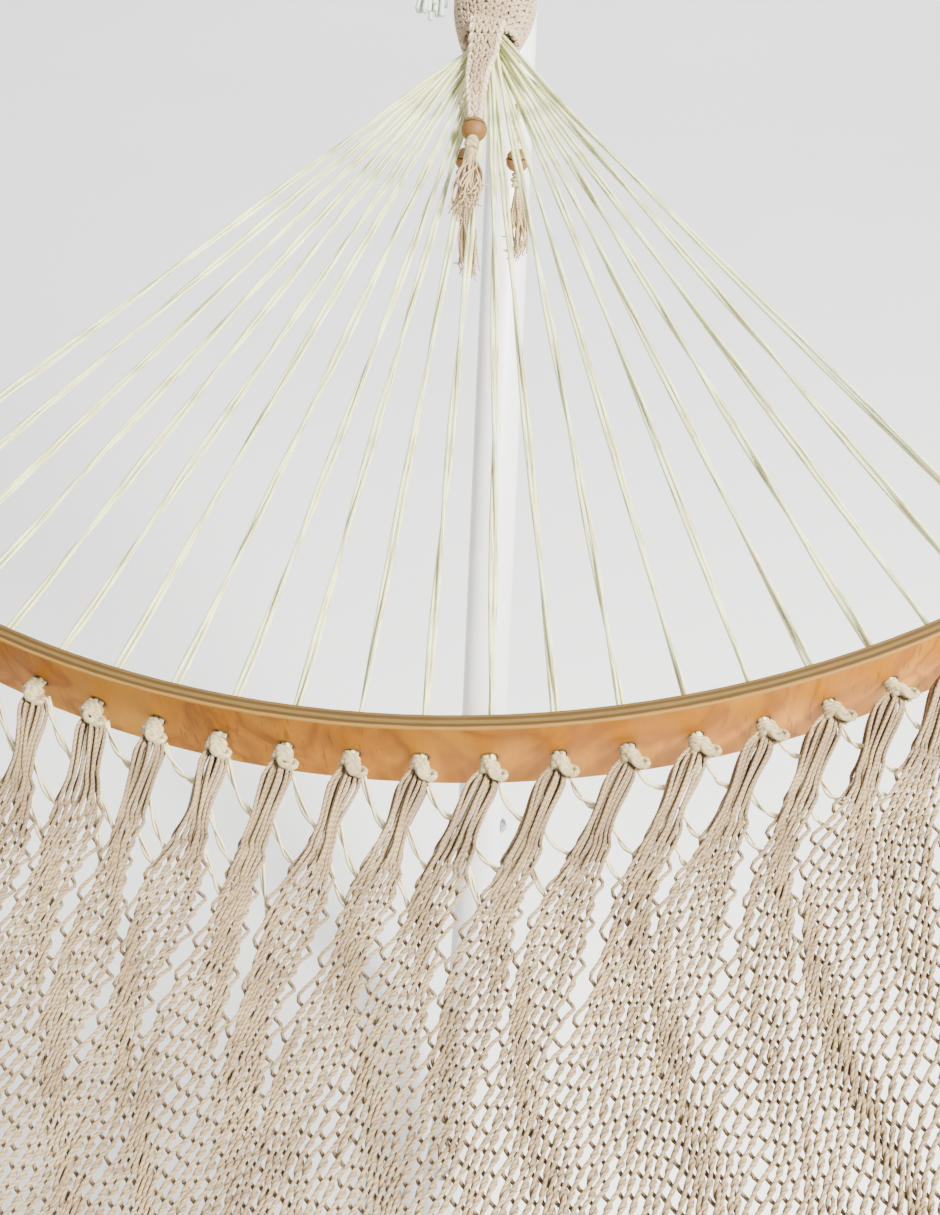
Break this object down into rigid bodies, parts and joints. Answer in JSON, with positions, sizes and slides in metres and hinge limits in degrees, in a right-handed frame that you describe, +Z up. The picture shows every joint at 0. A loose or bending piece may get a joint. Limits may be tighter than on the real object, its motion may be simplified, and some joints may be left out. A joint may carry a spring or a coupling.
{
  "type": "spreader-bar hammock with stand",
  "caption": "Netted cotton hammock with bent plywood spreader bars and crocheted crowns, hung between the arms of a tubular steel stand.",
  "frame": {"origin": "on the floor, under the middle of the hammock", "axes": "+Z up, +Y along the hammock towards its head end, +X across it"},
  "size_m": [1.06, 3.7968, 1.2982],
  "materials": {
    "frame_paint": "satin powder coat",
    "zinc_steel": "bright zinc",
    "bolt_steel": "zinc plated",
    "foot_rubber": "matte",
    "cap_plastic": "fine texture",
    "fan_cord": "twisted cotton cord",
    "crochet": "crocheted cotton",
    "plywood": "clear satin varnish",
    "net_cotton": "twisted cotton yarn",
    "bead_wood": "clear satin varnish",
    "tassel_cotton": "twisted cotton yarn"
  },
  "bodies": {
    "stand": {"base_tube_head": "frame_paint", "base_tube_foot": "frame_paint", "base_coupler": "zinc_steel", "frame_bolts": "bolt_steel", "frame_nuts": "bolt_steel", "arm_knee_head": "frame_paint", "arm_knee_foot": "frame_paint", "arm_post_head": "frame_paint", "arm_post_foot": "frame_paint", "arm_spigots": "zinc_steel", "arm_caps": "cap_plastic", "cross_foot_head": "frame_paint", "cross_foot_foot": "frame_paint", "foot_caps_head": "foot_rubber", "foot_caps_foot": "foot_rubber", "saddles": "foot_rubber", "saddle_bolts": "bolt_steel", "saddle_nuts": "bolt_steel", "eye_bolt_head": "zinc_steel", "eye_bolt_foot": "zinc_steel", "eye_nuts": "zinc_steel"},
    "hammock": {"carabiner_head": "zinc_steel", "carabiner_foot": "zinc_steel", "gate_pins": "bolt_steel", "ring_head": "zinc_steel", "ring_foot": "zinc_steel", "rope_eye_head": "fan_cord", "rope_eye_foot": "fan_cord", "sleeve_head": "crochet", "sleeve_foot": "crochet", "flaps_head": "crochet", "flaps_foot": "crochet", "cord_gather_head": "fan_cord", "cord_gather_foot": "fan_cord", "fan_cords_head": "fan_cord", "fan_cords_foot": "fan_cord", "spreader_bar_head": "plywood", "spreader_bar_foot": "plywood", "bundle_knots_head": "net_cotton", "bundle_knots_foot": "net_cotton", "net": "net_cotton", "edge_cord_left": "net_cotton", "edge_cord_right": "net_cotton"},
    "snap_gate_head": {"gate_head": "zinc_steel"},
    "snap_gate_foot": {"gate_foot": "zinc_steel"},
    "pendant_top_head": {"bead_top_head": "bead_wood", "tassel_top_head": "tassel_cotton"},
    "pendant_left_head": {"bead_left_head": "bead_wood", "tassel_left_head": "tassel_cotton"},
    "pendant_right_head": {"bead_right_head": "bead_wood", "tassel_right_head": "tassel_cotton"},
    "pendant_top_foot": {"bead_top_foot": "bead_wood", "tassel_top_foot": "tassel_cotton"},
    "pendant_left_foot": {"bead_left_foot": "bead_wood", "tassel_left_foot": "tassel_cotton"},
    "pendant_right_foot": {"bead_right_foot": "bead_wood", "tassel_right_foot": "tassel_cotton"}
  },
  "joints": [
    {"name": "swing", "type": "hinge", "parent": "stand", "child": "hammock", "pos_m": [0, 0, 1.23944], "axis": [0, 1, 0], "range_deg": [-25, 25]},
    {"name": "gate_open_head", "type": "hinge", "parent": "hammock", "child": "snap_gate_head", "pos_m": [0.016, 1.73949, 1.21829], "axis": [0, -0.4067, 0.9135], "range_deg": [0, 25], "stiffness_Nm_per_rad": 0.3, "springref_deg": -20.05},
    {"name": "gate_open_foot", "type": "hinge", "parent": "hammock", "child": "snap_gate_foot", "pos_m": [-0.016, -1.73949, 1.21829], "axis": [0, 0.4067, 0.9135], "range_deg": [0, 25], "stiffness_Nm_per_rad": 0.3, "springref_deg": -20.05},
    {"name": "tassel_lift_head", "type": "hinge", "parent": "hammock", "child": "pendant_top_head", "pos_m": [0, 1.39603, 1.08398], "axis": [-1, 0, 0], "range_deg": [0, 60]},
    {"name": "tassel_swing_left_head", "type": "hinge", "parent": "hammock", "child": "pendant_left_head", "pos_m": [-0.026, 1.53084, 1.01439], "axis": [1, 0, 0], "range_deg": [-25, 25]},
    {"name": "tassel_swing_right_head", "type": "hinge", "parent": "hammock", "child": "pendant_right_head", "pos_m": [0.026, 1.53084, 1.01439], "axis": [1, 0, 0], "range_deg": [-25, 25]},
    {"name": "tassel_lift_foot", "type": "hinge", "parent": "hammock", "child": "pendant_top_foot", "pos_m": [0, -1.39603, 1.08398], "axis": [1, 0, 0], "range_deg": [0, 60]},
    {"name": "tassel_swing_left_foot", "type": "hinge", "parent": "hammock", "child": "pendant_left_foot", "pos_m": [0.026, -1.53084, 1.01439], "axis": [1, 0, 0], "range_deg": [-25, 25]},
    {"name": "tassel_swing_right_foot", "type": "hinge", "parent": "hammock", "child": "pendant_right_foot", "pos_m": [-0.026, -1.53084, 1.01439], "axis": [1, 0, 0], "range_deg": [-25, 25]}
  ]
}
